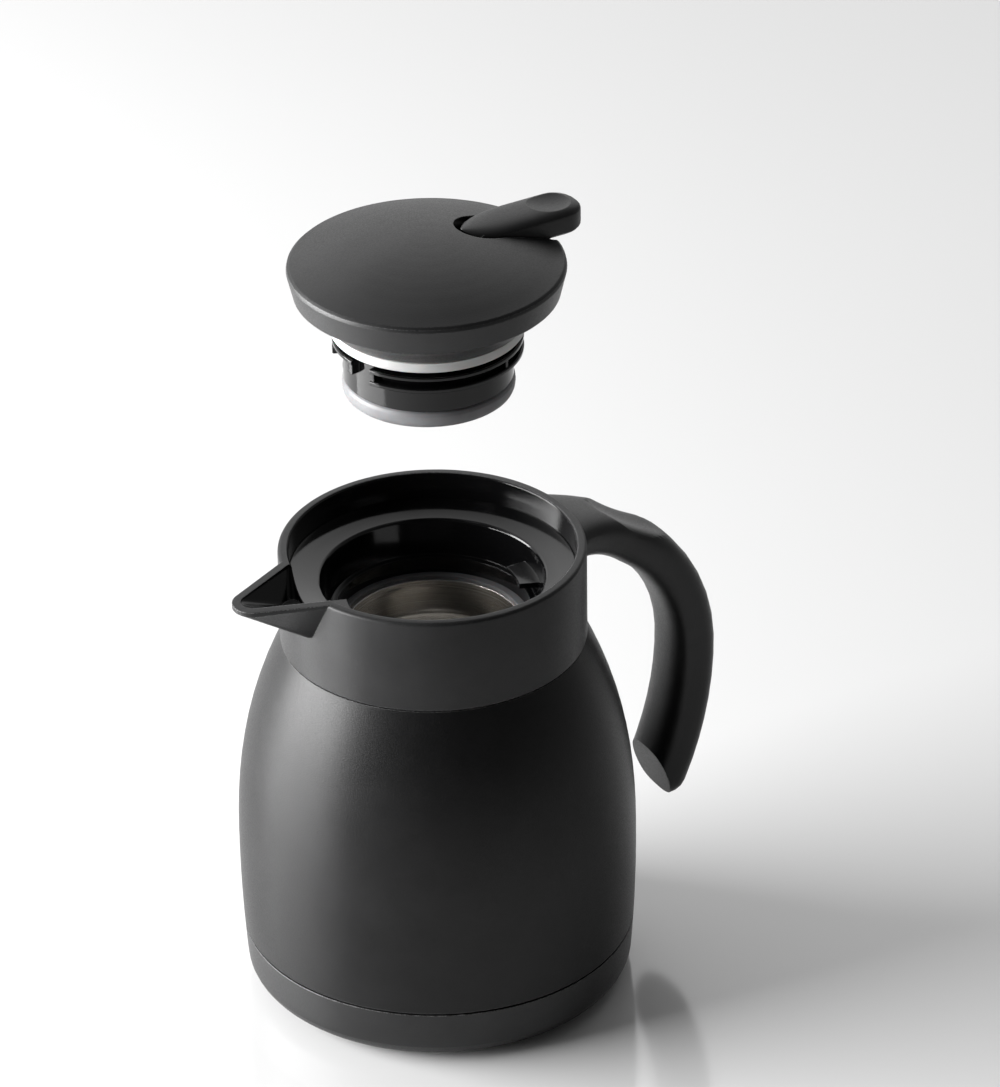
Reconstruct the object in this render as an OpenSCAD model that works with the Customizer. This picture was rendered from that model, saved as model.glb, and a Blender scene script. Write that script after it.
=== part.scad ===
// Insulated serving carafe: double-walled steel flask, plastic collar with a pouring spout
// and an open handle, and a twist-in lid with a thumb lever that lifts a pouring valve.
// Millimetres, +Z up, spout towards -X, handle towards +X, origin on the table under the axis.
// The lid is drawn lifted off, as it is stored here, and drops by lid_lift to its seat.

/* [Flask] */
// Largest outside diameter of the steel body
belly_d = 116; // [112:0.5:122]
// Height at which the body is widest
belly_z = 45; // [35:1:55]
// Height of the seam between the steel body and the base cover
seam_z = 18; // [14:0.5:20]
// Height at which the body goes under the collar
shoulder_z = 112; // [108:1:120]
// Narrowing of the body from its widest line down to the base round, on the radius
base_taper = 1.5; // [0.5:0.1:2]
// Thickness of the two steel walls
steel_t = 0.8; // [0.6:0.1:1]
// Evacuated gap between the two steel walls
vacuum_gap = 4; // [3:0.5:5]
// Inside diameter of the flask's neck
neck_d = 50; // [49.6:0.2:51]
// Height of the straight stretch of the neck
neck_h = 9; // [8:0.5:10]

/* [Base] */
// Thickness of the base cover
base_t = 1.6; // [1.2:0.1:2]
// Width and height of the round at the cover's lower edge
base_round = [9, 6.5];
// Height of the foot ring below the base cover
foot_proud = 0.8; // [0.5:0.1:1.2]
// Distance from the foot ring's outside to the start of the base's rounded edge
foot_inset = 3.5; // [2:0.5:8]
// Width of the foot ring
foot_w = 6; // [4:0.5:8]

/* [Collar] */
// Outside diameter of the collar
collar_d = 88.4; // [87:0.2:91]
// Height of the collar
collar_h = 29; // [27:0.5:32]
// Thickness of the collar wall
collar_t = 3; // [2.4:0.1:3.2]

/* [Spout] */
// Reach of the spout's tip from the axis
spout_reach = 64.2; // [60:0.2:70]
// Rise of the spout's tip above the rim
spout_rise = -0.9; // [-2:0.1:2]
// Radius of the spout's tip
spout_tip_r = 6.3; // [4.6:0.1:7]
// Half angle that the spout takes out of the rim
spout_half = 19; // [16:0.5:22]
// Depth of the spout's keel below the rim, at the collar
spout_keel = 14; // [12:0.5:15]
// Width of the spout's keel at the collar
keel_wide = 16; // [8:1:18]
// Thickness of the spout's walls
spout_t = 2.5; // [2:0.1:3]

/* [Neck insert] */
// Depth of the draining ledge below the rim, at the collar wall
ledge_depth = 8; // [7:0.5:9]
// Fall of the ledge towards the cup
ledge_fall = 2.4; // [1:0.2:3]
// Inside diameter of the cup at the ledge
cup_d = 64; // [62:0.5:66]
// Depth of the cup's floor below the rim
cup_depth = 20.5; // [19.5:0.5:21]
// Wall thickness of the insert
insert_t = 2; // [1.6:0.1:2.2]
// Thickness of the gasket under the insert
gasket_t = 1; // [0.8:0.1:1.5]
// Angle that each of the two locking lugs takes up
lug_angle = 24; // [20:1:28]
// Height of the locking lugs
lug_h = 1.6; // [1.4:0.1:2]

/* [Handle] */
// Reach of the handle's back from the axis
handle_reach = 91.6; // [88:0.5:96]
// Height of the handle's lower tip
handle_low = 33; // [30:1:40]
// Thickness of the handle, in its side view
handle_thick = 14; // [12:0.2:15]
// Width of the handle at the grip
handle_wide = 20; // [18:0.5:24]
// Length of the oblique cut at the handle's lower end
facet_len = 14; // [10:1:18]
// Angle of that cut from upright
facet_turn = 16; // [8:1:24]
// Length over which the lower tip rounds off
tip_round = 8; // [5:0.5:10]
// Depth of the thumb dish on the handle
dish_deep = 2.6; // [1:0.1:3]
// Width of the handle at the collar
handle_root = 33; // [28:0.5:36]
// Radius of the upper bend, at mid thickness
handle_bend = 49; // [45:0.5:53]
// Radius of the long curve of the grip, at mid thickness
handle_sweep = 100; // [90:1:130]

/* [Lid] */
// Height of the lid at rest above its seat
lid_lift = 83; // [70:1:100]
// Height of the lid's edge above the rim when it is seated
lid_proud = 8; // [7.4:0.2:9]
// Diameter of the lid cover
cover_d = 78.6; // [76:0.2:80]
// Narrowing of the cover's side wall towards its lower edge, on the radius
cover_taper = 1.7; // [0.6:0.1:2]
// Rise of the cover's dome
dome_h = 8.5; // [7.4:0.1:9]
// Height of the cover's side wall
cover_wall_h = 8.5; // [8:0.1:9]
// Height of the cover below its edge
cover_h = 16.4; // [15:0.2:17]
// Thickness of the cover
cover_t = 2; // [1.6:0.1:2.2]
// Height of the pale seal ring under the cover
ring_h = 3.6; // [3:0.1:4]
// Diameter of the pale seal ring
ring_d = 55.2; // [54.6:0.2:56]

/* [Stopper] */
// Outside diameter of the stopper wall
stopper_d = 48.2; // [47.4:0.2:48.4]
// Thickness of the stopper wall
stopper_t = 1.8; // [1.4:0.1:2]
// Diameter over the locking ridges
ridge_d = 54; // [53.4:0.2:54.6]
// Thickness of each locking ridge
ridge_t = 1.4; // [1.2:0.1:1.8]
// Turn of the lid that locks it, in degrees
lock_turn = 40; // [30:1:50]
// Depth of the stopper's lower end below the lid's edge
stopper_h = 39.3; // [38:0.1:40]
// Height of the grey seal
seal_h = 4.9; // [4:0.1:5.5]
// Diameter of the grey seal
seal_d = 49; // [48.4:0.2:49.2]
// Width of the pouring window
window_w = 14; // [8:1:16]

/* [Valve] */
// Diameter of the valve stem
stem_d = 5; // [4:0.2:5.4]
// Diameter of the pouring hole in the stopper's floor
port_d = 17; // [14:0.5:20]
// Diameter of the valve's plate
plate_d = 22; // [21:0.5:26]
// Wire diameter of the valve spring
wire_d = 0.9; // [0.7:0.1:1.1]
// Number of turns of the valve spring
spring_turns = 4; // [3:1:5]

/* [Lever] */
// Distance of the lever's pivot from the axis
pivot_x = 17; // [16:0.5:18]
// Width of the lever
lever_w = 15; // [14:0.5:17]
// Reach of the lever's tip from the axis
lever_reach = 49; // [46:0.5:52]
// Height of the lever's underside above the lid's edge, at the tip
lever_clear = 0.8; // [0.5:0.1:3]
// Thickness of the lever at the tip
lever_thick = 7.9; // [6:0.1:8.5]
// Depth of the thumb dish in the lever
pad_dish = 1.5; // [0.8:0.1:2]
// Diameter of the lever's pin
pin_d = 2.5; // [2:0.1:3]
// Press of the lever that the slot leaves room for, in degrees
lever_press = 7; // [5:0.5:8]

/* [Clearances] */
// Gap between pieces that are assembled
fit = 0.1; // [0.05:0.05:0.2]
// Gap between pieces that move past each other
run = 0.4; // [0.3:0.05:0.5]

/* [Hidden] */
$fn = 96;

steel = [0.62, 0.61, 0.6];
charcoal = [0.13, 0.13, 0.135];
gloss_black = [0.04, 0.04, 0.045];
pale = [0.82, 0.82, 0.8];
grey = [0.42, 0.42, 0.43];

// Levels of the flask, from the table up
belly_r = belly_d / 2;
foot_r = belly_r - base_taper - base_round[0] - foot_inset;
collar_r = collar_d / 2;
shoulder_r = collar_r - 0.2;
rim_z = shoulder_z + collar_h;
cover_r = cover_d / 2;
bore_h = 5;
insert_z = rim_z - cup_depth - bore_h;
lip_z = insert_z - gasket_t;
neck_r = neck_d / 2;
base_z = foot_proud + base_round[1];
shell_low = 8;
shell_low_r = belly_r - base_taper - base_t - fit - 1;
well_r = collar_r - collar_t;

// Levels of the lid at rest; the rest of the lid is drawn from its edge plane
edge_z = rim_z + lid_proud + lid_lift;
base_floor = -cover_h;
stopper_top = base_floor - ring_h;
upper_ridge = stopper_top - 1.8;
lug_play = 0.3;
lower_ridge = upper_ridge - ridge_t - lug_h - 2 * lug_play;
ridges_h = 2 * ridge_t + lug_h + 2 * lug_play;
lug_at = -10;
stopper_low = -stopper_h;
floor_z = stopper_low + 3.4;
lug_z = rim_z + lid_proud + upper_ridge - ridge_t - lug_play - lug_h;

// Radius of the steel body at a height
function body_r(z) = z > belly_z
    ? belly_r - (belly_r - shoulder_r) * pow((z - belly_z) / (shoulder_z - belly_z), 2.4)
    : belly_r - base_taper * pow((belly_z - z) / (belly_z - base_z), 2);

// Point at a depth under the body's surface, square to it
function under(z, d) = let (s = (body_r(z + 0.1) - body_r(z - 0.1)) / 0.2, n = sqrt(1 + s * s))
    [body_r(z) - d / n, z + d * s / n];

// Points of an elliptical arc
function arc(c, a, b, t0, t1, n = 8) =
    [for (i = [0:n]) let (t = t0 + (t1 - t0) * i / n) [c[0] + a * cos(t), c[1] + b * sin(t)]];

function flip(list) = [for (i = [len(list) - 1:-1:0]) list[i]];

// Steel body between the seam and the neck, with its turned-in top
module outer_shell() {
    low = seam_z + 0.4;
    n = 16;
    step = (shoulder_z - low) / n;
    top_r = shoulder_r - 1.5;
    round_r = 1.8;
    outside = [for (i = [0:n]) under(low + i * step, 0)];
    inside = [for (i = [n - 1:-1:0]) under(low + i * step, steel_t)];
    color(steel) rotate_extrude() polygon(concat(
        [[shell_low_r, shell_low], [shell_low_r + 0.5, seam_z], [body_r(low) - 0.3, seam_z]],
        outside,
        [[top_r, shoulder_z]],
        arc([top_r - round_r, lip_z - round_r], round_r, round_r, 0, 90, 4),
        [[neck_r + steel_t + fit, lip_z], [neck_r + steel_t + fit, lip_z - steel_t]],
        [[top_r - round_r, lip_z - steel_t], [top_r - steel_t, lip_z - round_r],
         [top_r - steel_t, shoulder_z - steel_t], under(shoulder_z - steel_t, steel_t)],
        inside,
        [[shell_low_r + 0.5 - steel_t, seam_z - 0.4], [shell_low_r - steel_t, shell_low]]));
}

// Outline of the inner bottle, at a depth inside its outer face
function bottle_line(d) = let (
        low = shell_low + steel_t + vacuum_gap + 2,
        corner = 9,
        z0 = low + corner,
        z1 = lip_z - neck_h - 3.2 - 12,
        off = steel_t + vacuum_gap + d,
        r1 = body_r(z1) - off,
        k = 8)
    concat([[0, low + d]],
        arc([body_r(z0) - off - corner + d, z0], corner - d, corner - d, -90, 0, 6),
        [for (i = [1:k]) let (z = z0 + (z1 - z0) * i / k) [body_r(z) - off, z]],
        arc([neck_r + steel_t + 3.2, z1], r1 - neck_r - steel_t - 3.2, 12 - d, 12, 90, 7),
        arc([neck_r + steel_t + 3.2, lip_z - neck_h], 3.2 + d, 3.2 + d, 262, 180, 4),
        [[neck_r + steel_t - d, lip_z]]);

// Inner bottle, with the neck that the grey seal closes
module inner_bottle() {
    color(steel) rotate_extrude() polygon(concat(bottle_line(0), flip(bottle_line(steel_t))));
}

// Pressed plate that closes the vacuum from below
module bottom_plate() {
    r = shell_low_r - steel_t - fit;
    color(steel) rotate_extrude() polygon([[0, shell_low + 2.6], [30, shell_low + 2.6],
        [36, shell_low + steel_t], [r, shell_low + steel_t], [r, shell_low],
        [35.6, shell_low], [29.6, shell_low + 1.8], [0, shell_low + 1.8]]);
}

// Soldered cap over the hole the vacuum is drawn through
module vacuum_cap() {
    color(steel) translate([0, 0, shell_low + 0.4]) {
        cylinder(h = 1.3, r = 8);
        translate([0, 0, -0.6]) cylinder(h = 0.6, r1 = 5.4, r2 = 6);
    }
}

// Base cover with a rounded lower edge and a groove for the foot ring
module base_cover() {
    r = belly_r - base_taper;
    b = base_round;
    rise = seam_z - 0.4 - base_z;
    in_r = foot_r - foot_w;
    color(charcoal) rotate_extrude() polygon(concat(
        [[0, foot_proud], [in_r - fit, foot_proud], [in_r - fit, foot_proud + 1.2],
         [foot_r + fit, foot_proud + 1.2], [foot_r + fit, foot_proud]],
        arc([r - b[0], foot_proud + b[1]], b[0], b[1], -90, 0, 8),
        [for (i = [1:4]) under(base_z + rise * i / 4, 0)],
        [for (i = [4:-1:1]) under(base_z + rise * i / 4, base_t)],
        arc([r - b[0], foot_proud + b[1]], b[0] - base_t, b[1] - base_t, 0, -90, 8),
        [[foot_r + 1.6, foot_proud + 2.6], [in_r - 1.6, foot_proud + 2.6],
         [in_r - 3, foot_proud + base_t], [0, foot_proud + base_t]]));
}

// Foot ring that the flask stands on
module foot_ring() {
    color(charcoal) difference() {
        cylinder(h = foot_proud + 1.1, r = foot_r);
        translate([0, 0, -1]) cylinder(h = foot_proud + 3, r = foot_r - foot_w);
    }
}

// Outer form of the spout, drawn in by a wall thickness, with its keel raised by lift
module spout_form(inset, lift, top) {
    a = spout_half;
    tip_x = -(spout_reach - spout_tip_r);
    root_r = collar_r - 1.5;
    hull() {
        translate([tip_x, 0, rim_z + spout_rise - 1.4 + lift / 4])
            cylinder(h = 1.4 - lift / 4 + top, r = spout_tip_r - inset, $fn = 48);
        translate([tip_x + 0.4, 0, rim_z + spout_rise - 3.2 + lift * 0.6])
            sphere(r = 1.9, $fn = 32);
        for (s = [-1, 1])
            translate([-root_r * cos(a), s * (root_r * sin(a) - inset * 1.1), rim_z - 1])
                cylinder(h = 1 + top, r = 0.6, $fn = 24);
        for (s = [-1, 1])
            translate([0.6 - collar_r, s * (keel_wide / 2 - 2.4 - inset * 0.6),
                rim_z - spout_keel + 2.4 + lift]) sphere(r = 2.4, $fn = 32);
    }
}

// Collar with its pouring spout and the inner flange that the screws hold down
module collar() {
    edge = 1.1;
    color(charcoal) {
        difference() {
            union() {
                rotate_extrude() polygon(concat(
                    [[shoulder_r - 1.2, shoulder_z + 0.1], [collar_r - 0.4, shoulder_z + 0.1],
                     [collar_r, shoulder_z + 0.6]],
                    arc([collar_r - edge, rim_z - edge], edge, edge, 0, 90, 5),
                    [[well_r + 0.5, rim_z], [well_r, rim_z - 0.5], [well_r, lip_z + 4.4],
                     [well_r - 6, lip_z + 4.4], [well_r - 6, lip_z + 2.2],
                     [well_r, lip_z + 2.2], [well_r, lip_z + 0.1],
                     [well_r + 0.8, lip_z + 0.1]]));
                difference() {
                    spout_form(0, 0, 0);
                    translate([0, 0, shoulder_z]) cylinder(h = 60, r = collar_r - 1);
                }
            }
            intersection() {
                spout_form(spout_t, spout_keel - ledge_depth - 1.4, 9);
                translate([-100, -50, rim_z - ledge_depth]) cube([100, 100, 30]);
            }
            for (k = [0:3]) rotate(45 + 90 * k)
                translate([well_r - 3.2, 0, lip_z]) cylinder(h = 6, r = 1.7, $fn = 32);
        }
    }
}

// Steel ring on the shoulder that takes the collar's screws
module anchor_ring() {
    color(steel) difference() {
        translate([0, 0, lip_z + 0.1]) cylinder(h = 2, r = well_r - fit);
        translate([0, 0, lip_z]) cylinder(h = 9, r = cup_d / 2 + insert_t + fit);
        for (k = [0:3]) rotate(45 + 90 * k)
            translate([well_r - 3.2, 0, lip_z]) cylinder(h = 9, r = 1.7, $fn = 32);
    }
}

// Four screws through the collar's flange
module anchor_screws() {
    color(steel) for (k = [0:3]) rotate(45 + 90 * k) translate([well_r - 3.2, 0, lip_z]) {
        translate([0, 0, 4.5]) cylinder(h = 1.6, r = 2.6, $fn = 32);
        translate([0, 0, 0.3]) cylinder(h = 5, r = 1.6, $fn = 32);
    }
}

// Neck insert: ledge that drains to the cup, cup with two locking lugs, and the neck bore
module neck_insert() {
    ledge_z = rim_z - ledge_depth;
    cup_z = rim_z - cup_depth;
    cup_r = cup_d / 2;
    floor_r = cup_r - 2.2;
    bore_r = neck_r + 3;
    color(gloss_black) {
        rotate_extrude() polygon(concat(
            [[well_r - fit, ledge_z]],
            arc([cup_r + 1.4, ledge_z - ledge_fall - 0.9], 1.4, 1.2, 90, 180, 4),
            [[floor_r, cup_z], [bore_r, cup_z], [bore_r, insert_z], [cup_r + insert_t, insert_z],
             [cup_r + insert_t, ledge_z - ledge_fall - 3],
             [well_r - 1.5, ledge_z - insert_t - 0.2], [well_r - fit, ledge_z - insert_t]]));
        intersection() {
            difference() {
                translate([0, 0, lug_z]) cylinder(h = lug_h, r = cup_r);
                translate([0, 0, lug_z - 1]) cylinder(h = lug_h + 2, r = neck_r);
            }
            for (s = [0, 180]) rotate(s + lug_at) sector(lug_angle / 2, lug_z - 1, lug_h + 2);
        }
    }
}

// Wedge about the X axis, of a half angle, as a cutter
module sector(half, z, h) {
    translate([0, 0, z]) linear_extrude(h) polygon([[0, 0],
        [70 * cos(half), -70 * sin(half)], [70, 0], [70 * cos(half), 70 * sin(half)]]);
}

// Gasket between the insert and the flask's lip
module neck_gasket() {
    color(grey) difference() {
        translate([0, 0, lip_z]) cylinder(h = gasket_t, r = cup_d / 2 + insert_t - 0.4);
        translate([0, 0, lip_z - 1]) cylinder(h = 5, r = neck_r + 0.8);
    }
}

// Handle spine: level at the collar, a bend of a quarter turn, then a long curve down to the tip
handle_mid = rim_z - handle_thick / 2 - 0.3;
bend_z = handle_mid - handle_bend;
bend_len = handle_bend * PI / 2;
spine_x = handle_reach - handle_thick / 2 - handle_bend;
root_in = 4.6;
root_s = collar_r - root_in - spine_x;
end_s = bend_len + handle_sweep * asin((bend_z - handle_low - 2) / handle_sweep) * PI / 180;
dish_s = root_s + 23.5;
dish_half = 12.3;
dish_wide = 10;
grip_sides = 44;

// Angle of the spine at a length along it, and its place in XZ
function spine_angle(s) = s < bend_len ? 90 - max(s, 0) / handle_bend * 180 / PI
    : -(s - bend_len) / handle_sweep * 180 / PI;
function spine(s) = let (t = spine_angle(s), r = s < bend_len ? handle_bend : handle_sweep)
    [handle_reach - handle_thick / 2 - r + r * cos(t) + min(s, 0), bend_z + r * sin(t)];

// Ring of points round the handle at a length along its spine
function grip_ring(s) = let (
        a = handle_thick / 2,
        flare = pow(max(0, 1 - (s - root_s) / 26), 2),
        q = max(0, 1 - (end_s - s) / tip_round),
        out = a * (1 - 0.42 * q * q),
        in = a - 2.4 * sqrt(flare),
        mid = (out - in) / 2,
        half = (out + in) / 2 * sqrt(1 - 0.8 * q * q),
        wide = (handle_wide / 2 + (handle_root - handle_wide) / 2 * flare) * sqrt(1 - 0.93 * q * q),
        c = spine(s),
        t = spine_angle(s))
    [for (i = [0:grip_sides - 1]) let (
            u = 360 * i / grip_sides,
            v = wide * sign(sin(u)) * pow(abs(sin(u)), 0.72),
            dish = 1 - pow((s - dish_s) / dish_half, 2) - pow(v / dish_wide, 2),
            d = mid + half * sign(cos(u)) * pow(abs(cos(u)), 0.72)
                - (cos(u) > 0 ? dish_deep * max(0, dish) : 0))
        [c[0] + d * cos(t), v, c[1] + d * sin(t)]];

// Handle: a loft along the spine, flared to the collar, dished on top and cut off obliquely
module handle() {
    lengths = concat([for (i = [0:24]) root_s + i * 1.6], [for (i = [1:12]) root_s + 38.4
        + i * (end_s - tip_round - root_s - 38.4) / 12], [for (i = [1:7]) end_s - tip_round
        + tip_round * sin(90 * i / 7)]);
    cut_s = end_s - facet_len;
    cut_t = spine_angle(cut_s);
    cut = spine(cut_s) - handle_thick / 2 * [cos(cut_t), sin(cut_t)];
    rings = [for (s = lengths) grip_ring(s)];
    n = grip_sides;
    m = len(lengths);
    points = [for (ring = rings, p = ring) p];
    walls = [for (i = [0:m - 2], j = [0:n - 1]) let (k = (j + 1) % n, p = i * n, q = p + n)
        each [[p + j, p + k, q + j], [p + k, q + k, q + j]]];
    caps = [[for (j = [n - 1:-1:0]) j], [for (j = [0:n - 1]) (m - 1) * n + j]];
    color(charcoal) difference() {
        polyhedron(points, concat(walls, caps));
        translate([0, 0, rim_z - 60]) cylinder(h = 80, r = collar_r + fit);
        translate([cut[0], 0, cut[1]]) rotate([0, -facet_turn, 0])
            translate([-30, -20, -60]) cube([30, 40, 62]);
    }
}

// Grey seal that closes the flask's neck and that the stopper turns in
module stopper_seal() {
    r = seal_d / 2;
    in_r = stopper_d / 2 - 3;
    top = stopper_low + seal_h;
    color(grey) translate([0, 0, edge_z]) rotate_extrude() polygon(concat(
        [[in_r + run, stopper_low + 1.4], [in_r + 1.6, stopper_low + 1.4],
         [in_r + 1.6, stopper_low], [r - 1.4, stopper_low]],
        arc([r - 1.2, stopper_low + seal_h / 2], 1.2, seal_h / 2, -80, 80, 6),
        [[r - 1.4, top], [in_r + 1.6, top], [in_r + 1.6, top - 1.4], [in_r + run, top - 1.4]]));
}

// Dome of the lid cover, at a depth under its outer face
function dome(r, d) = dome_h * (1 - pow(r / cover_r, 2)) - d;

// Half outline of the cover, at a depth inside its outer face
function cover_line(d) = let (r = cover_r - d, e = 2.2)
    concat([for (i = [0:8]) let (x = i * (r - e) / 8) [x, dome(x, d)]],
        [[r - 0.9, dome(r - e, d) - 0.45], [r - 0.2, dome(r - e, d) - 1.1],
         [r, dome(r - e, d) - 2]]);

// Lid cover: domed shell with a pocket and a slot for the lever
module lid_cover() {
    inner = cover_t;
    half = lever_w / 2 + run;
    low_r = cover_r - cover_taper;
    color(charcoal) translate([0, 0, edge_z]) difference() {
        union() {
            rotate_extrude() polygon(concat(cover_line(0),
                [[low_r, -cover_wall_h + 0.4], [low_r - 0.4, -cover_wall_h],
                 [low_r - inner, -cover_wall_h]], flip(cover_line(inner))));
            intersection() {
                rotate_extrude() polygon(concat(cover_line(0.4), [[cover_r - 0.4, -5], [0, -5]]));
                translate([nose_x - 2, -half - 1.6, -4.6])
                    cube([60, 2 * half + 3.2, 30]);
            }
            intersection() {
                for (a = [60, 180, 300]) rotate(a) translate([post_r, 0, -cover_wall_h + 1.2])
                    cylinder(h = 16, r = 3.2, $fn = 32);
                rotate_extrude() polygon(concat(cover_line(1), [[cover_r - 1, -9], [0, -9]]));
            }
        }
        intersection() {
            lever_plan(run, -6);
            translate([0, 30, 0]) rotate([90, 0, 0]) linear_extrude(60)
                polygon([[0, pocket_z], [pivot_x, pocket_z], [60, pocket_z - (60 - pivot_x)
                    * tan(lever_press)], [60, 40], [0, 40]]);
        }
        translate([nose_x - 3, -arm_w / 2 - run, pocket_z - 8])
            cube([pivot_x + 8 - nose_x, arm_w + 2 * run, 9.4]);
        for (a = [60, 180, 300]) rotate(a) translate([post_r, 0, -cover_wall_h - 1])
            cylinder(h = 8, r = 1.2, $fn = 32);
        lever_bore(pin_d / 2 + 0.05, 2 * half + 4);
    }
}

// Room for the lever seen from above, as a tall solid grown by a gap
module lever_plan(gap, z) {
    w = lever_w / 2 + gap;
    translate([0, 0, z]) linear_extrude(40) {
        translate([nose_x + w, 0]) circle(r = w);
        translate([nose_x + w, -w]) square([60 - nose_x - w, 2 * w]);
    }
}

// Bore or pin along the lever's axis
module lever_bore(r, w) {
    translate([pivot_x, 0, pivot_z]) rotate([90, 0, 0])
        cylinder(h = w, r = r, center = true, $fn = 48);
}

// Pin that the lever turns on
module lever_pin() {
    color(steel) translate([0, 0, edge_z]) lever_bore(pin_d / 2, lever_w + 2 * run + 3);
}

// Stations along the lever's pad: place, half width, height of the crown
function pad_top(x) = lever_top - (lever_top - dome(nose_x, 0) + 0.6)
    * pow(max(0, 1 - (x - nose_x) / 20), 2)
    - pad_crown * (1 - sqrt(1 - pow(pad_end(x), 2)));
function pad_end(x) = max(0, (x - lever_reach + lever_w / 2) / lever_w * 2);
function pad_stations() = let (w = lever_w / 2, nose = nose_x + nose_gap)
    concat([for (t = [6:12:90]) [nose + nose_len * (1 - cos(t)), w * sin(t)]],
        [for (i = [1:4]) [nose + nose_len + i * (lever_reach - w - nose - nose_len) / 5, w]],
        [for (t = [0:12:84]) [lever_reach - w + w * sin(t), w * cos(t)]]);

// Ring of points round the lever's pad at a station, with a crowned top
function pad_ring(p) = let (
        x = p[0],
        w = p[1],
        top = pad_top(x),
        low = lever_clear + 0.8 * pow(max(0, (x - lever_reach + 5) / 5), 2),
        e = min(0.7, w / 2),
        crown = pad_crown * sqrt(1 - pow(pad_end(x), 2)))
    concat([for (a = [-90:10:90]) [x, w * sign(a) * pow(abs(sin(a)), 0.82),
            top - crown + crown * pow(max(0, cos(a)), 0.82)]],
        [[x, w, low + 0.7], [x, w - e, low], [x, e - w, low], [x, -w, low + 0.7]]);

// Thumb lever: crowned pad with a thumb dish, forked arm inside that lifts the stem cap
module lever() {
    rings = [for (p = pad_stations()) pad_ring(p)];
    n = len(rings[0]);
    m = len(rings);
    points = [for (ring = rings, p = ring) p];
    walls = [for (i = [0:m - 2], j = [0:n - 1]) let (k = (j + 1) % n, p = i * n, q = p + n)
        each [[p + j, p + k, q + j], [p + k, q + k, q + j]]];
    caps = [[for (j = [n - 1:-1:0]) j], [for (j = [0:n - 1]) (m - 1) * n + j]];
    color(charcoal) translate([0, 0, edge_z]) difference() {
        union() {
            polyhedron(points, concat(walls, caps));
            translate([-arm_back, -arm_w / 2, arm_z - arm_t])
                cube([pivot_x + arm_back + 2.5, arm_w, arm_t]);
            lever_bore(pin_d / 2 + 2.2, arm_w);
        }
        translate([lever_reach - 8.8, 0, lever_top + dish_r - pad_dish])
            sphere(r = dish_r, $fn = 160);
        translate([0, 0, arm_z - 9]) cylinder(h = 12, r = stem_d / 2 + 0.6, $fn = 48);
        translate([-20, -stem_d / 2 - 0.6, arm_z - 9]) cube([20, stem_d + 1.2, 12]);
        lever_bore(pin_d / 2 + 0.05, 60);
    }
}

// Lid base: cone under the cover, floor, stem guide and screw posts
module lid_base() {
    t = 1.8;
    low_r = ring_d / 2 + 0.4;
    top_r = cover_r - cover_taper;
    top = -cover_wall_h - fit;
    color(gloss_black) translate([0, 0, edge_z]) difference() {
        union() {
            rotate_extrude() polygon(concat(
                [[top_r - 0.5, top]],
                [[top_r - 4.7, top - 3], [low_r + 1.6, base_floor + 1.6],
                 [low_r, base_floor], [guide_r - 1.9, base_floor],
                 [guide_r - 1.9, guide_top], [guide_r, guide_top],
                 [guide_r, base_floor + t], [low_r - 0.4, base_floor + t],
                 [top_r - cover_t - 3.9, top - 1.4], [top_r - cover_t - 1.8, top + 0.2],
                 [top_r - cover_t - 1.8, top + 3], [top_r - cover_t - fit, top + 3],
                 [top_r - cover_t - fit, top]]));
            for (a = [60, 180, 300]) rotate(a) translate([post_r, 0, base_floor + 0.5])
                cylinder(h = 8.4 - fit, r = 3, $fn = 32);
        }
        for (a = [60, 180, 300]) rotate(a) translate([post_r, 0, base_floor - 1])
            cylinder(h = 14, r = 1.5, $fn = 32);
        for (a = [0, 120, 240]) rotate(a) translate([16, 0, base_floor - 1])
            cylinder(h = 4, r = 1.5, $fn = 32);
    }
}

// Screws that hold the cover to the base and the stopper to the base
module lid_screws() {
    color(steel) translate([0, 0, edge_z]) {
        for (a = [60, 180, 300]) rotate(a) translate([post_r, 0, base_floor + 0.2])
            cylinder(h = 13.4, r = 1.1, $fn = 32);
        for (a = [0, 120, 240]) rotate(a) translate([16, 0, 0]) {
            translate([0, 0, stopper_top - 3.7]) cylinder(h = 1.6, r = 2.6, $fn = 32);
            translate([0, 0, stopper_top - 2.2]) cylinder(h = 7, r = 1.3, $fn = 32);
        }
    }
}

// Pale seal between the lid base and the stopper
module cover_gasket() {
    color(pale) translate([0, 0, edge_z + stopper_top]) difference() {
        union() {
            translate([0, 0, 0.1]) cylinder(h = ring_h - 0.2, r = ring_d / 2 - 0.3);
            translate([0, 0, 0.5]) cylinder(h = ring_h - 1, r = ring_d / 2);
        }
        translate([0, 0, -1]) cylinder(h = 9, r = ring_d / 2 - 5);
    }
}

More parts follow.
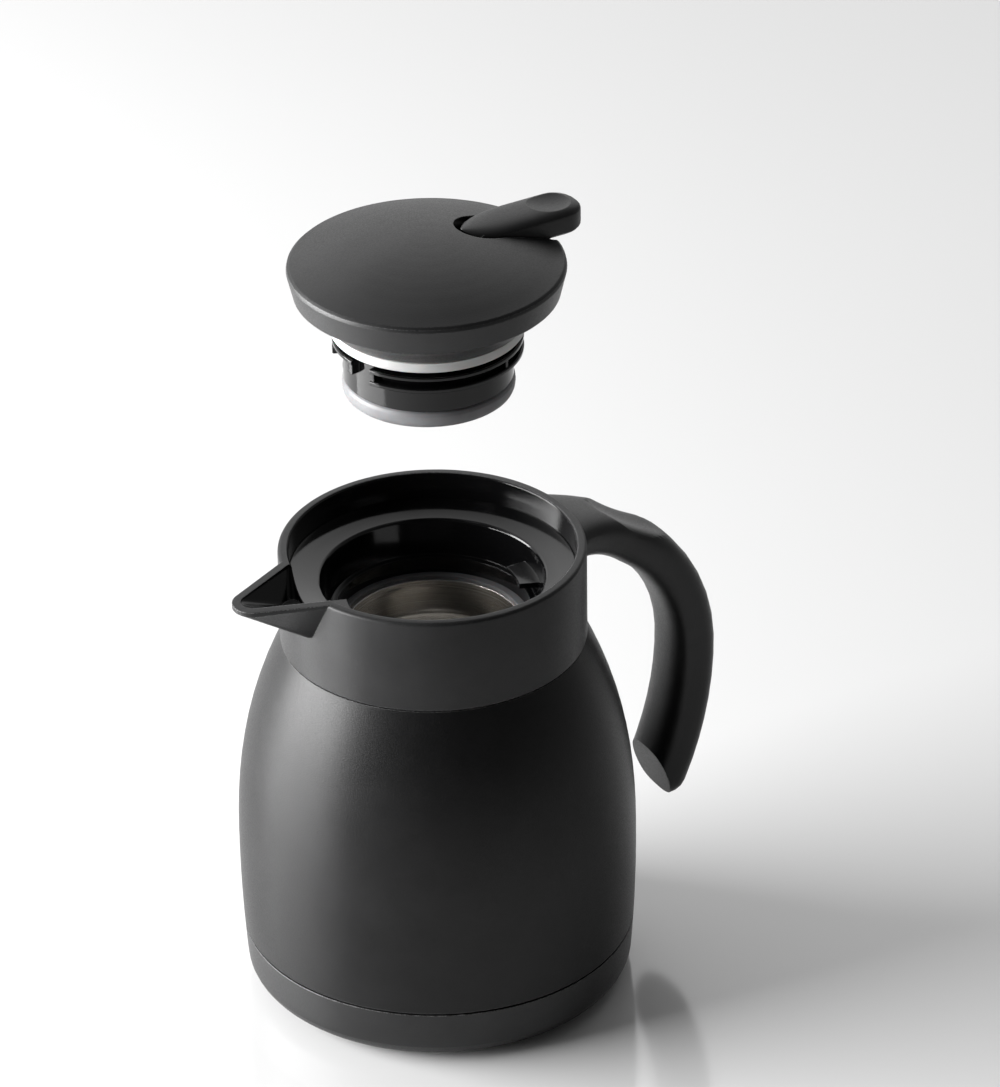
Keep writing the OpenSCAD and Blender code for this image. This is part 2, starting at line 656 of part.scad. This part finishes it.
// Stopper: chamber with a pouring window, the locking ridges and the valve's floor
module stopper() {
    r = stopper_d / 2;
    in_r = r - stopper_t;
    seal_in = r - 3;
    seal_top = stopper_low + seal_h;
    half = lug_angle / 2;
    shut_at = -147;
    neck_r = ring_d / 2 - 5.1;
    stem_r = stem_d / 2 + run;
    color(gloss_black) translate([0, 0, edge_z]) difference() {
        union() {
            rotate_extrude() polygon([
                [stem_r, stopper_top + ring_h - 0.1], [neck_r, stopper_top + ring_h - 0.1],
                [neck_r, stopper_top], [r + 1.4, stopper_top], [r + 1.4, stopper_top - 1],
                [r, stopper_top - 2], [r, seal_top + 0.3], [seal_in + 0.1, seal_top + 0.3],
                [seal_in + 0.1, stopper_low + 1.1], [seal_in + 1.3, stopper_low + 1.1],
                [seal_in + 1.3, stopper_low + 0.4], [seal_in + 1, stopper_low + 0.1],
                [port_d / 2 + 2, stopper_low + 0.1], [port_d / 2, stopper_low + 1.6],
                [port_d / 2, floor_z], [in_r - 2, floor_z], [in_r - 2, seal_top + 1.4],
                [in_r, seal_top + 2.6], [in_r, stopper_top - 2], [stem_r, stopper_top - 2]]);
            for (s = [0, 180]) rotate(s + lug_at) {
                ridge(upper_ridge, ridge_t, shut_at, half + 5.7);
                ridge(lower_ridge, ridge_t, shut_at, -half - 2);
                ridge_rib(shut_at + 0.4, shut_at + 2.6);
                ridge_rib(-lock_turn - half - 3, -lock_turn - half - 0.5);
                ridge_rib(half + 0.5, half + 5.3);
            }
        }
        rotate(180 - lock_turn) translate([r - 4, -window_w / 2, seal_top + 2.9])
            cube([8, window_w, upper_ridge - ridges_h - seal_top - 3.5]);
        for (a = [0, 120, 240]) rotate(a) translate([16, 0, stopper_top - 3])
            cylinder(h = 9, r = 1.5, $fn = 32);
    }
}

// Locking ridge of a thickness between two angles, hung under a height
module ridge(top, t, from, to) {
    r = stopper_d / 2;
    out = ridge_d / 2;
    rotate(from) rotate_extrude(angle = to - from) polygon([[r - 0.5, top], [out - 0.3, top],
        [out, top - 0.3], [out, top - t + 0.3], [out - 0.3, top - t], [r - 0.5, top - t]]);
}

// Rib that closes the groove between the two ridges and stops a lug
module ridge_rib(from, to) {
    r = stopper_d / 2;
    rib_r = ridge_d / 2 - 0.45;
    high = upper_ridge - 0.5;
    low = lower_ridge - ridge_t + 0.5;
    rotate(from) rotate_extrude(angle = to - from) polygon([[r - 0.9, high], [rib_r, high],
        [rib_r, low], [r - 0.9, low]]);
}

// Valve: plate over the pouring hole and the stem that the lever lifts
module valve_stem() {
    top = arm_z + cap_gap + 0.85;
    color(gloss_black) translate([0, 0, edge_z]) {
        translate([0, 0, floor_z + 1.3]) cylinder(h = 1.6, d = plate_d);
        translate([0, 0, floor_z + 2.9]) cylinder(h = hub_h, r1 = stem_d / 2 + 4, r2 = stem_d / 2 + 2.4);
        translate([0, 0, floor_z + 1.3]) cylinder(h = top - floor_z - 1.3, d = stem_d);
        translate([0, 0, floor_z + 0.1]) cylinder(h = 1.4, r = plate_d / 2 - 4);
    }
}

// Soft washer under the valve's plate
module valve_seal() {
    color(grey) translate([0, 0, edge_z + floor_z + 0.1]) difference() {
        cylinder(h = 1.2 - 0.05, d = plate_d);
        translate([0, 0, -1]) cylinder(h = 4, r = plate_d / 2 - 4 + 0.05);
    }
}

// Cap on the stem, over the lever's fork
module stem_cap() {
    color(steel) translate([0, 0, edge_z + arm_z + cap_gap]) difference() {
        cylinder(h = 1.6, r = stem_d / 2 + 2.4, $fn = 64);
        translate([0, 0, -1]) cylinder(h = 1.9, r = stem_d / 2 + 0.05, $fn = 48);
    }
}

// Compression spring that closes the valve
module valve_spring() {
    r = stem_d / 2 + 1.5;
    low = floor_z + 3 + hub_h;
    high = stopper_top - 2.1;
    sides = 8;
    per_turn = 24;
    n = spring_turns * per_turn;
    pts = [for (i = [0:n], j = [0:sides - 1])
        let (a = 360 * i / per_turn, b = 360 * j / sides, q = r + wire_d / 2 * cos(b))
        [q * cos(a), q * sin(a), low + wire_d / 2 + (high - low - wire_d) * i / n
            + wire_d / 2 * sin(b)]];
    walls = [for (i = [0:n - 1], j = [0:sides - 1]) let (k = (j + 1) % sides)
        [i * sides + j, i * sides + k, (i + 1) * sides + k, (i + 1) * sides + j]];
    ends = [[for (j = [sides - 1:-1:0]) j], [for (j = [0:sides - 1]) n * sides + j]];
    color(steel) translate([0, 0, edge_z]) polyhedron(pts, concat(walls, ends));
}

nose_x = 10;
post_r = 24;
pivot_z = 3.4;
pocket_z = lever_clear - 0.35;
nose_gap = 1.3;
nose_len = 14;
pad_crown = 3;
dish_r = 18;
lever_top = lever_clear + lever_thick;
arm_w = 10;
hub_h = 3;
arm_t = 3;
arm_z = 0.4;
arm_back = 3.4;
cap_gap = 0.5;
guide_r = stem_d / 2 + run + 1.9;
guide_top = base_floor + 6;

outer_shell();
inner_bottle();
bottom_plate();
vacuum_cap();
base_cover();
foot_ring();
collar();
anchor_ring();
anchor_screws();
neck_insert();
neck_gasket();
handle();
stopper_seal();
lid_cover();
lid_base();
cover_gasket();
stopper();
lid_screws();
lever_pin();
lever();
valve_stem();
valve_seal();
stem_cap();
valve_spring();
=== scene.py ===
"""Insulated serving carafe with its lid lifted off, on a white glossy studio floor.

Metres, in the row frame: +Z up, spout towards -X, handle and lever towards +X."""

import math

import bpy
from mathutils import Matrix, Vector

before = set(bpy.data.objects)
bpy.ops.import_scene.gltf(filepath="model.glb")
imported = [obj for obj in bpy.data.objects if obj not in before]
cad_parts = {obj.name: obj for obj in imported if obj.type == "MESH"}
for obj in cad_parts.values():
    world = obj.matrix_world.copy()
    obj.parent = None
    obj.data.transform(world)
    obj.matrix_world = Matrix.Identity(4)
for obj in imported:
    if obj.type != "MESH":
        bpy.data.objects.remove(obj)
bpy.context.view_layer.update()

# Photograph's camera
IMAGE_W, IMAGE_H = 1000, 1087
FOCAL_PX = 7000.0
SENSOR_MM = 36.0
CAMERA_AT = Vector((-0.8452, -1.5027, 1.1502))
CAMERA_PITCH = math.radians(30.342)
CAMERA_TURN = math.radians(30.0)
CAMERA_ROLL = math.radians(-0.822)

# Inner and outer radius of the collar, how far off these a face may lie and still count as the
# well's or as the outside, and where the spout starts
WELL_R = 0.0412
COLLAR_R = 0.0442
WELL_MARGIN = 0.0003
OUTSIDE_MARGIN = 0.0012
SPOUT_X = -0.03
# Mould line under the spout: its direction from the axis, its tone, and the distances from its
# middle at which it is full and has faded
SEAM_TURN = (math.cos(math.radians(181.5)), math.sin(math.radians(181.5)))
SEAM_TONE = (0.0, 0.0, 0.0)
SEAM_FULL, SEAM_FADED = 0.00006, 0.00016

# Colours, linear
COAT = (0.003, 0.003, 0.0032)
COAT_LIGHT = (0.0065, 0.0065, 0.0068)
MATT = (0.006, 0.006, 0.0063)
MATT_LIGHT = (0.012, 0.012, 0.0124)
# Pale grey of the highlight painted along the edges of the matt finishes
PAINTED_EDGE_HIGHLIGHT = (0.24, 0.24, 0.24)
GLOSS = (0.0025, 0.0025, 0.0027)
DUST = (0.02, 0.02, 0.02)
STEEL, STEEL_LIGHT = (0.74, 0.72, 0.69), (0.86, 0.84, 0.81)
GREY, GREY_LIGHT = (0.13, 0.13, 0.135), (0.17, 0.17, 0.175)
PALE, PALE_LIGHT = (0.42, 0.42, 0.415), (0.5, 0.5, 0.495)
RUBBER, RUBBER_LIGHT = (0.012, 0.012, 0.012), (0.02, 0.02, 0.02)
FLOOR, FLOOR_LIGHT = (0.74, 0.74, 0.74), (0.78, 0.78, 0.78)
WHITE = (1, 1, 1, 1)

# Matt finishes: radius of the rounded edges, which also carry a painted highlight, height and
# strength of the grain, and how far the roughness swings about its middle
EDGE_R = 0.0005
GRAIN_HEIGHT = 0.00006
GRAIN_STRENGTH = 0.55
ROUGHNESS_SWING = 0.09
# Roughness of the collar's glossy inside
INSIDE_ROUGHNESS = 0.1

# Range that a noise texture mostly stays in
NOISE_RANGE = (0.3, 0.7)

# Edges that turn by more than this stay sharp, and vertices closer than this are joined
SHARP_ANGLE = math.radians(15)
WELD = 2e-6

FLOOR_HALF = 6.0

# Window light from the left
WINDOW_AT = (-0.95, 0.47, 0.36)
WINDOW_AIM = (0, 0, 0.12)
WINDOW_SIZE = (1.0, 0.66)
WINDOW_POWER = 47.0

# Light of the room: its level everywhere, and broad patches. Each has the direction of its
# middle, the cosine of the angle from it at its rim and where it is full, and its strength.
ROOM_LEVEL = 0.02
ROOM_PATCHES = (
    ((0.5, 0.87, 0.25), -0.1, 0.8, 0.12),  # wall behind, seen from the camera
    ((0.43, 0.75, 0.5), 0.74, 0.96, 1.15),  # bright patch behind, above the object
    ((-0.4, 0.8, 0.45), 0.78, 0.97, 0.9),  # bright patch behind, at the left
    ((-0.87, 0.5, 0.2), 0.2, 1.0, 0.1),  # left side
    ((0.87, -0.5, 0.15), 0.3, 1.0, 0.13),  # right side
    ((0.0, 0.0, 1.0), 0.85, 1.0, 0.25),  # ceiling
)


def make_camera():
    """Camera with the photograph's place, roll and focal length."""
    cp, sp = math.cos(CAMERA_PITCH), math.sin(CAMERA_PITCH)
    ct, st = math.cos(CAMERA_TURN), math.sin(CAMERA_TURN)
    ahead = Vector((st * cp, ct * cp, -sp))
    right = Vector((ct, -st, 0.0))
    up = right.cross(ahead)
    cr, sr = math.cos(CAMERA_ROLL), math.sin(CAMERA_ROLL)
    right_rolled = cr * right + sr * up
    up_rolled = -sr * right + cr * up
    data = bpy.data.cameras.new("photo_camera")
    data.sensor_fit = "AUTO"
    data.sensor_width = SENSOR_MM
    data.lens = SENSOR_MM * FOCAL_PX / max(IMAGE_W, IMAGE_H)
    data.clip_end = 20.0
    cam = bpy.data.objects.new("photo_camera", data)
    turn = Matrix((right_rolled, up_rolled, -ahead)).transposed().to_4x4()
    cam.matrix_world = Matrix.Translation(CAMERA_AT) @ turn
    bpy.context.scene.collection.objects.link(cam)
    bpy.context.scene.camera = cam


class Nodes:
    """Shorthand for building a node tree whose patterns follow one set of coordinates."""

    def __init__(self, tree, coords):
        self.tree = tree
        self.coords = self.add("ShaderNodeTexCoord").outputs[coords]

    def add(self, kind, **settings):
        node = self.tree.nodes.new(kind)
        for key, value in settings.items():
            setattr(node, key, value)
        return node

    def link(self, out, socket):
        self.tree.links.new(out, socket)

    def put(self, socket, value):
        """Sets a socket to a number, or links another node's output to it."""
        if hasattr(value, "is_output"):
            self.link(value, socket)
        else:
            socket.default_value = value

    def noise(self, scale, detail=2.0, rough=0.5, vector=None):
        """Noise between 0 and 1, about 0.5 on average."""
        node = self.add("ShaderNodeTexNoise")
        self.link(vector or self.coords, node.inputs["Vector"])
        node.inputs["Scale"].default_value = scale
        node.inputs["Detail"].default_value = detail
        node.inputs["Roughness"].default_value = rough
        return node.outputs[0]

    def span(self, value, low, high, out_low=0.0, out_high=1.0):
        """Value mapped from one range to another and held inside it."""
        node = self.add("ShaderNodeMapRange")
        node.clamp = True
        self.link(value, node.inputs["Value"])
        limits = {"From Min": low, "From Max": high, "To Min": out_low, "To Max": out_high}
        for key, number in limits.items():
            self.put(node.inputs[key], number)
        return node.outputs[0]

    def spread(self, noise, out_low=0.0, out_high=1.0):
        """The usual range of a noise mapped to another."""
        return self.span(noise, *NOISE_RANGE, out_low, out_high)

    def math(self, kind, a, b=0.0, c=0.0):
        """Math node on numbers or outputs."""
        node = self.add("ShaderNodeMath", operation=kind)
        self.put(node.inputs[0], a)
        self.put(node.inputs[1], b)
        self.put(node.inputs[2], c)
        return node.outputs[0]

    def mix(self, factor, a, b):
        """Colour between two, each a colour or an output."""
        node = self.add("ShaderNodeMix", data_type="RGBA")
        self.put(node.inputs["Factor"], factor)
        self.put(node.inputs[6], a if hasattr(a, "is_output") else (*a, 1.0))
        self.put(node.inputs[7], b if hasattr(b, "is_output") else (*b, 1.0))
        return node.outputs[2]

    def bump(self, height, strength, distance, normal):
        """Normal of a relief, on top of another normal."""
        node = self.add("ShaderNodeBump")
        self.link(height, node.inputs["Height"])
        node.inputs["Strength"].default_value = strength
        node.inputs["Distance"].default_value = distance
        self.link(normal, node.inputs["Normal"])
        return node.outputs[0]

    def rounded(self, radius):
        """Normal that rounds the edges by a radius."""
        node = self.add("ShaderNodeBevel", samples=6)
        node.inputs["Radius"].default_value = radius
        return node.outputs[0]

    def edge(self, radius):
        """1 on the rounded edges, where a highlight is painted, 0 on open surfaces."""
        soft = self.rounded(radius)
        dot = self.add("ShaderNodeVectorMath", operation="DOT_PRODUCT")
        self.link(soft, dot.inputs[0])
        self.link(self.add("ShaderNodeNewGeometry").outputs["Normal"], dot.inputs[1])
        return self.span(dot.outputs["Value"], 0.995, 0.86)

    def dot(self, direction):
        """How far the coordinates point along a direction."""
        node = self.add("ShaderNodeVectorMath", operation="DOT_PRODUCT")
        self.link(self.coords, node.inputs[0])
        node.inputs[1].default_value = Vector(direction).normalized()
        return node.outputs["Value"]

    def place(self):
        """Position as three numbers."""
        node = self.add("ShaderNodeSeparateXYZ")
        self.link(self.coords, node.inputs[0])
        return node.outputs

    def off_axis(self, place):
        """Distance from the object's axis."""
        squares = [self.math("POWER", place[i], 2.0) for i in (0, 1)]
        return self.math("SQRT", self.math("ADD", *squares))

    def facing(self):
        """Surface normal as three numbers."""
        node = self.add("ShaderNodeSeparateXYZ")
        self.link(self.add("ShaderNodeNewGeometry").outputs["Normal"], node.inputs[0])
        return node.outputs


class Material(Nodes):
    """Procedural material round one shader."""

    def __init__(self, name):
        self.mat = bpy.data.materials.new(name)
        self.mat.use_nodes = True
        super().__init__(self.mat.node_tree, "Object")
        self.shader = self.tree.nodes["Principled BSDF"]

    def set(self, **values):
        """Sets the shader's own sockets, by name with spaces as underscores."""
        for key, value in values.items():
            self.put(self.shader.inputs[key.replace("_", " ")], value)


def grained(name, base, light, grain, roughness, specular):
    """Matt black with a fine grain, faint mottling and a highlight painted along the edges."""
    n = Material(name)
    fine = n.noise(grain, detail=2.0, rough=0.7)
    mottle = n.noise(60.0, detail=3.0, rough=0.55)
    tone = n.mix(n.spread(mottle), base, light)
    # Painted highlight: the base colour turns pale grey on the rounded edges, broken up by the
    # grain
    painted_edge_highlight = n.math("MULTIPLY", n.edge(EDGE_R), n.span(fine, 0.42, 0.62))
    n.set(Base_Color=n.mix(painted_edge_highlight, tone, PAINTED_EDGE_HIGHLIGHT))
    n.set(Roughness=n.spread(fine, roughness - ROUGHNESS_SWING, roughness + ROUGHNESS_SWING))
    n.set(Specular_IOR_Level=specular)
    n.set(Normal=n.bump(fine, GRAIN_STRENGTH, GRAIN_HEIGHT, n.rounded(EDGE_R)))
    return n


def body_coat():
    """Powder coat of the steel body."""
    n = grained("body_coat", COAT, COAT_LIGHT, grain=2600.0, roughness=0.4, specular=0.27)
    return n.mat


def matt_plastic():
    """Plastic of the handle, the cover, the lever and the base."""
    n = grained("matt_plastic", MATT, MATT_LIGHT, grain=2200.0, roughness=0.42, specular=0.44)
    return n.mat


def collar_plastic():
    """Matt outside, glossy inside the well and the spout, with a mould line under the spout."""
    n = grained("collar_plastic", MATT, MATT_LIGHT, grain=2200.0, roughness=0.42, specular=0.34)
    place, face = n.place(), n.facing()
    radius = n.off_axis(place)
    in_well = n.math("LESS_THAN", radius, WELL_R + WELL_MARGIN)
    inward = n.math("MULTIPLY", n.math("SIGN", place[1]), face[1])
    past_well = n.math("GREATER_THAN", radius, WELL_R)
    turned_in = n.math("MULTIPLY", n.math("LESS_THAN", inward, -0.1), past_well)
    in_spout = n.math("MULTIPLY", n.math("LESS_THAN", place[0], SPOUT_X), turned_in)
    inside = n.math("MAXIMUM", in_well, in_spout)
    matt_color = n.shader.inputs["Base Color"].links[0].from_socket
    matt_rough = n.shader.inputs["Roughness"].links[0].from_socket
    glossed = n.mix(inside, matt_color, GLOSS)
    along_y = n.math("MULTIPLY", place[1], -SEAM_TURN[0])
    along_x = n.math("MULTIPLY", place[0], -SEAM_TURN[1])
    off_line = n.math("ABSOLUTE", n.math("SUBTRACT", along_y, along_x))
    line = n.span(off_line, SEAM_FULL, SEAM_FADED, 1.0, 0.0)
    line = n.math("MULTIPLY", line, n.math("LESS_THAN", place[0], 0.0))
    seam = n.math("MULTIPLY", line, n.math("GREATER_THAN", radius, COLLAR_R - OUTSIDE_MARGIN))
    n.set(Base_Color=n.mix(seam, glossed, SEAM_TONE))
    rough_outside = n.math("MULTIPLY", matt_rough, n.math("SUBTRACT", 1.0, inside))
    n.set(Roughness=n.math("ADD", rough_outside, n.math("MULTIPLY", inside, INSIDE_ROUGHNESS)))
    return n.mat


def gloss_plastic():
    """Glossy black with a slight wave and a few specks of dust."""
    n = Material("gloss_plastic")
    wave = n.noise(90.0)
    dust = n.noise(2600.0, rough=0.7)
    n.set(Base_Color=n.mix(n.span(dust, 0.66, 0.74), GLOSS, DUST))
    n.set(Roughness=n.spread(wave, 0.07, 0.13), Specular_IOR_Level=0.36)
    n.set(Normal=n.bump(wave, strength=0.06, distance=0.0004, normal=n.rounded(0.00035)))
    return n.mat


def satin_steel():
    """Turned steel: fine rings round the axis."""
    n = Material("satin_steel")
    place = n.place()
    profile = n.add("ShaderNodeCombineXYZ")
    n.put(profile.inputs[0], n.off_axis(place))
    n.put(profile.inputs[1], place[2])
    rings = n.noise(1500.0, detail=3.0, rough=0.7, vector=profile.outputs[0])
    n.set(Base_Color=n.mix(n.spread(rings), STEEL, STEEL_LIGHT))
    n.set(Metallic=1.0, Roughness=n.spread(rings, 0.2, 0.3))
    n.set(Normal=n.bump(rings, strength=0.1, distance=0.00008, normal=n.rounded(0.0003)))
    return n.mat


def silicone(name, base, light):
    """Soft sheen, lit a little from within."""
    n = Material(name)
    soft = n.noise(160.0, detail=3.0)
    fine = n.noise(3000.0)
    n.set(Base_Color=n.mix(n.spread(soft), base, light))
    n.set(Roughness=n.spread(fine, 0.42, 0.54))
    n.set(Subsurface_Weight=0.15, Subsurface_Scale=0.002)
    n.set(Normal=n.bump(fine, strength=0.08, distance=0.00005, normal=n.rounded(0.0004)))
    return n.mat


def foot_rubber():
    """Dull black rubber of the foot ring."""
    n = Material("foot_rubber")
    fine = n.noise(2500.0, detail=3.0)
    n.set(Base_Color=n.mix(n.spread(fine), RUBBER, RUBBER_LIGHT))
    n.set(Roughness=n.spread(fine, 0.7, 0.85))
    n.set(Normal=n.bump(fine, strength=0.2, distance=0.0001, normal=n.rounded(0.0004)))
    return n.mat


def smoothing():
    """Geometry nodes that shade a CAD mesh smooth across all but its sharp edges."""
    group = bpy.data.node_groups.new("smooth_by_angle", "GeometryNodeTree")
    for way in ("INPUT", "OUTPUT"):
        group.interface.new_socket("Geometry", in_out=way, socket_type="NodeSocketGeometry")
    start = group.nodes.new("NodeGroupInput")
    end = group.nodes.new("NodeGroupOutput")
    weld = group.nodes.new("GeometryNodeMergeByDistance")
    weld.inputs["Distance"].default_value = WELD
    soft = group.nodes.new("GeometryNodeSetShadeSmooth")
    sharp = group.nodes.new("GeometryNodeSetShadeSmooth")
    sharp.domain = "EDGE"
    sharp.inputs["Shade Smooth"].default_value = False
    angle = group.nodes.new("GeometryNodeInputMeshEdgeAngle")
    over = group.nodes.new("FunctionNodeCompare")
    over.data_type = "FLOAT"
    over.operation = "GREATER_THAN"
    over.inputs[1].default_value = SHARP_ANGLE
    link = group.links.new
    link(start.outputs[0], weld.inputs["Geometry"])
    link(weld.outputs[0], soft.inputs[0])
    link(soft.outputs[0], sharp.inputs[0])
    link(angle.outputs[0], over.inputs[0])
    link(over.outputs[0], sharp.inputs["Selection"])
    link(sharp.outputs[0], end.inputs[0])
    return group


def finish_nodes():
    """Gives every CAD node its material and smooth shading. What isn't listed is steel."""
    coat, matt = body_coat(), matt_plastic()
    collar, gloss, steel = collar_plastic(), gloss_plastic(), satin_steel()
    grey = silicone("grey_silicone", GREY, GREY_LIGHT)
    pale = silicone("pale_silicone", PALE, PALE_LIGHT)
    rubber = foot_rubber()
    finishes = {
        "outer_shell": coat, "collar": collar, "cover_gasket": pale, "foot_ring": rubber,
        "base_cover": matt, "handle": matt, "lid_cover": matt, "lid_base": matt, "lever": matt,
        "neck_insert": gloss, "stopper": gloss, "valve_stem": gloss,
        "stopper_seal": grey, "neck_gasket": grey, "valve_seal": grey,
    }
    group = smoothing()
    for name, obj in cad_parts.items():
        obj.data.materials.clear()
        obj.data.materials.append(finishes.get(name, steel))
        smooth = obj.modifiers.new("smooth_by_angle", "NODES")
        smooth.node_group = group


def make_floor():
    """White glossy studio floor."""
    mesh = bpy.data.meshes.new("floor")
    half = FLOOR_HALF
    corners = [(-half, -half, 0), (half, -half, 0), (half, half, 0), (-half, half, 0)]
    mesh.from_pydata(corners, [], [(0, 1, 2, 3)])
    floor = bpy.data.objects.new("floor", mesh)
    bpy.context.scene.collection.objects.link(floor)
    n = Material("white_floor")
    cloud = n.noise(1.2)
    n.set(Base_Color=n.mix(n.span(cloud, 0.2, 0.8), FLOOR, FLOOR_LIGHT))
    n.set(Roughness=n.spread(n.noise(30.0), 0.09, 0.12), IOR=1.8)
    mesh.materials.append(n.mat)


def make_window():
    """Broad window light from the left."""
    data = bpy.data.lights.new("window", "AREA")
    data.shape = "RECTANGLE"
    data.size, data.size_y = WINDOW_SIZE
    data.energy = WINDOW_POWER
    lamp = bpy.data.objects.new("window", data)
    lamp.location = WINDOW_AT
    ahead = Vector(WINDOW_AIM) - Vector(WINDOW_AT)
    lamp.rotation_euler = ahead.to_track_quat("-Z", "Y").to_euler()
    bpy.context.scene.collection.objects.link(lamp)


def make_room():
    """World that lights from a few sides, dark on the camera's side, and is seen as white."""
    world = bpy.data.worlds.new("room")
    bpy.context.scene.world = world
    world.use_nodes = True
    n = Nodes(world.node_tree, "Generated")
    light = ROOM_LEVEL
    for middle, rim, full, strength in ROOM_PATCHES:
        light = n.math("ADD", n.span(n.dot(middle), rim, full, 0.0, strength), light)
    room = n.tree.nodes["Background"]
    room.inputs["Color"].default_value = WHITE
    n.link(light, room.inputs["Strength"])
    seen = n.add("ShaderNodeBackground")
    seen.inputs["Color"].default_value = WHITE
    mix = n.add("ShaderNodeMixShader")
    n.link(n.add("ShaderNodeLightPath").outputs["Is Camera Ray"], mix.inputs[0])
    n.link(room.outputs[0], mix.inputs[1])
    n.link(seen.outputs[0], mix.inputs[2])
    n.link(mix.outputs[0], n.tree.nodes["World Output"].inputs["Surface"])


bpy.context.scene.view_settings.view_transform = "Standard"
make_camera()
finish_nodes()
make_floor()
make_window()
make_room()
